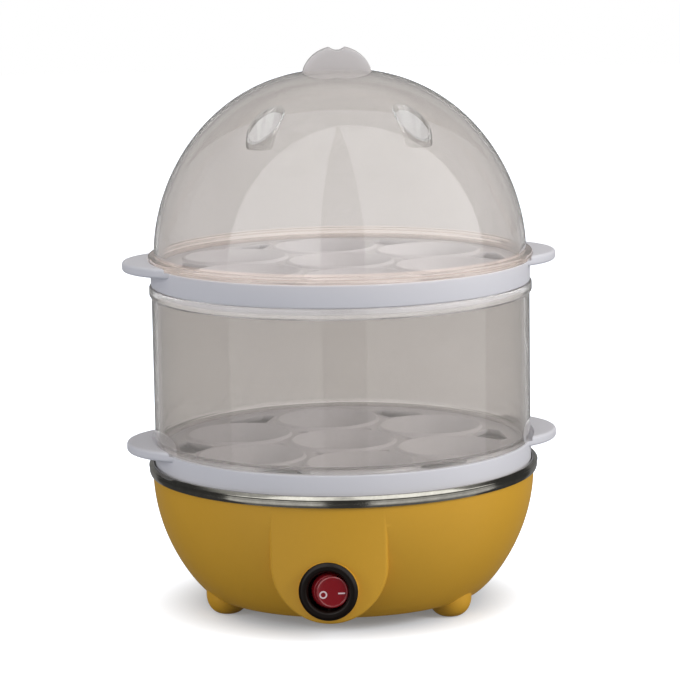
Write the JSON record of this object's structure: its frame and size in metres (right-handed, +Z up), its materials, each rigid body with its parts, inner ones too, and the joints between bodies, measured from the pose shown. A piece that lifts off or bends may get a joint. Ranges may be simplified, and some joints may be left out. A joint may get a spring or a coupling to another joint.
{
  "type": "egg boiler",
  "caption": "Electric egg steamer with a yellow round base, rocker switch, steel pan, stacked white trays with lifting ears, clear wall and domed lid.",
  "frame": {"origin": "on the table, on the axis of the round base", "axes": "+Z up along the axis of the stack, -Y out of the face of the switch, +X to the right of someone facing the switch"},
  "size_m": [0.1702, 0.1563, 0.2219],
  "materials": {
    "yellow_shell": "fine satin moulded plastic, mustard yellow",
    "white_tray": "smooth white moulded plastic",
    "clear_cover": "clear polycarbonate, faintly clouded",
    "pan_steel": "polished stainless sheet",
    "plain_steel": "plain zinc plated or stainless steel",
    "cast_aluminium": "as cast, matt",
    "bright_brass": "stamped and tinned brass",
    "black_nylon": "moulded nylon, satin black",
    "red_rocker": "red translucent polycarbonate",
    "lamp_glass": "small neon lamp",
    "black_rubber": "moulded rubber",
    "pale_resin": "pale moulded resin",
    "lead_brown": "silicone insulation, brown",
    "lead_blue": "silicone insulation, blue",
    "lead_green": "silicone insulation, green and yellow, shown green"
  },
  "bodies": {
    "base": {"base_housing": "yellow_shell", "heating_pan": "pan_steel", "heat_spreader": "cast_aluminium", "heating_element": "plain_steel", "element_pin_1": "plain_steel", "element_pin_2": "plain_steel", "thermostat_cap": "cast_aluminium", "thermostat_body": "black_nylon", "thermostat_screw_1": "plain_steel", "thermostat_screw_2": "plain_steel", "thermal_fuse": "pale_resin", "fuse_clip": "plain_steel", "fuse_screw": "plain_steel", "earth_tab": "bright_brass", "earth_screw": "bright_brass", "pan_pillar_1": "plain_steel", "base_screw_1": "plain_steel", "pan_pillar_2": "plain_steel", "base_screw_2": "plain_steel", "pan_pillar_3": "plain_steel", "base_screw_3": "plain_steel", "cord_gland": "black_rubber", "cord_clamp": "pale_resin", "clamp_screw_1": "plain_steel", "clamp_screw_2": "plain_steel", "terminal_block": "pale_resin", "lead_live_in": "lead_brown", "lead_live_out": "lead_brown", "lead_fuse_in": "lead_brown", "lead_fuse_out": "lead_brown", "lead_neutral": "lead_blue", "lead_lamp": "lead_blue", "lead_earth": "lead_green", "switch_body": "black_nylon", "switch_terminal_1": "bright_brass", "switch_terminal_2": "bright_brass", "switch_terminal_3": "bright_brass", "switch_lamp": "lamp_glass"},
    "rocker": {"switch_rocker": "red_rocker"},
    "lower_tray": {"lower_tray": "white_tray"},
    "tier_wall": {"tier_wall": "clear_cover"},
    "upper_tray": {"upper_tray": "white_tray"},
    "dome_lid": {"dome_lid": "clear_cover"}
  },
  "joints": [
    {"name": "switch_rock", "type": "hinge", "parent": "base", "child": "rocker", "pos_m": [0, -0.0711, 0.0217], "axis": [0, 0, 1], "range_deg": [-20, 0]},
    {"name": "lower_tray_lift", "type": "slide", "parent": "base", "child": "lower_tray", "axis": [0, 0, 1], "range_m": [0, 0.08]},
    {"name": "tier_wall_lift", "type": "slide", "parent": "lower_tray", "child": "tier_wall", "axis": [0, 0, 1], "range_m": [0, 0.08]},
    {"name": "upper_tray_lift", "type": "slide", "parent": "tier_wall", "child": "upper_tray", "axis": [0, 0, 1], "range_m": [0, 0.08]},
    {"name": "dome_lid_lift", "type": "slide", "parent": "upper_tray", "child": "dome_lid", "axis": [0, 0, 1], "range_m": [0, 0.1]}
  ]
}
